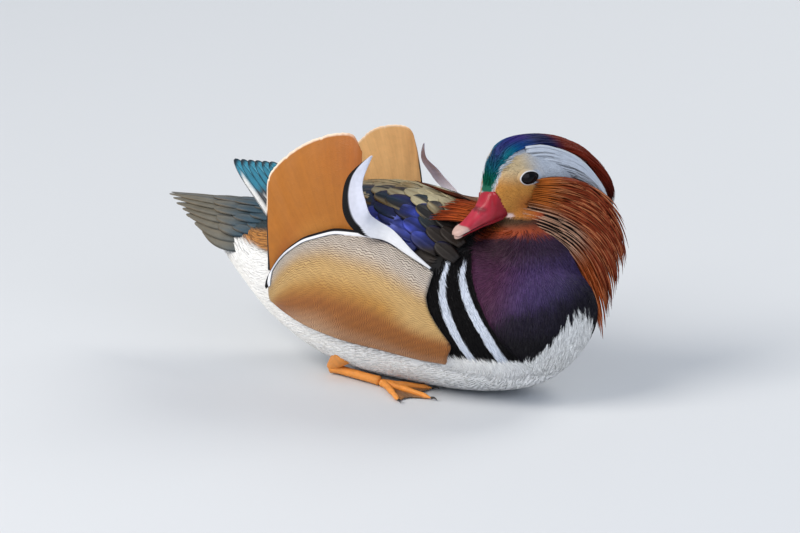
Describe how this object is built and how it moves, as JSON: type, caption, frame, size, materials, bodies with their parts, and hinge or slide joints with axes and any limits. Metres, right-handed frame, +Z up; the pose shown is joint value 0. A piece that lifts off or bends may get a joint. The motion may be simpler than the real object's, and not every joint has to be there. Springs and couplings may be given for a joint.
{
  "type": "mandarin duck",
  "caption": "Drake mandarin duck at life size sitting on its belly, head turned back over its right side, orange sail feathers raised, crest and ruff out, feet tucked under",
  "frame": {"origin": "on the floor plane, in the middle of the small flat under the keel of the belly", "axes": "+X from the tail towards the breast, +Y to the left side of the body, +Z up"},
  "size_m": [0.2825, 0.1206, 0.146],
  "materials": {
    "breast_and_belly": "dense small feathers, maroon with a purple sheen on the breast, two white bars on black at its side, white belly",
    "rust_hackle": "long narrow rust-orange hackles with pale shafts",
    "pale_face": "very short dense feathers, white band over the eye, yellow-buff before and under it",
    "eye": "wet dark brown eye",
    "bill": "smooth red horn with a pale pink nail",
    "crown_gloss": "silky crest feathers, green at the forehead, blue-violet on the crown, rust-red behind",
    "wing_gloss": "glossy blue-violet, bronze and dark brown vanes, primaries edged white with teal tips",
    "sail_orange": "broad orange vane with a pale rim",
    "white_scapular": "white vane with a black outer margin",
    "flank_buff": "golden-buff feathers with fine dark wavy lines",
    "leg_skin": "orange-yellow scaled skin with dusky webs",
    "tail_brown": "olive-brown tail vanes with a blue-green gloss, white coverts below"
  },
  "bodies": {
    "root": {"torso": "breast_and_belly", "neck": "rust_hackle", "head": "pale_face", "eye_left": "eye", "eye_right": "eye", "bill_upper": "bill", "bill_lower": "bill", "crest": "crown_gloss", "ruff_left": "rust_hackle", "ruff_right": "rust_hackle", "wing_left": "wing_gloss", "wing_right": "wing_gloss", "sail_left": "sail_orange", "sail_right": "sail_orange", "crescent_left": "white_scapular", "crescent_right": "white_scapular", "flank_left": "flank_buff", "flank_right": "flank_buff", "leg_left": "leg_skin", "leg_right": "leg_skin", "foot_left": "leg_skin", "foot_right": "leg_skin", "tail": "tail_brown"}
  },
  "joints": []
}
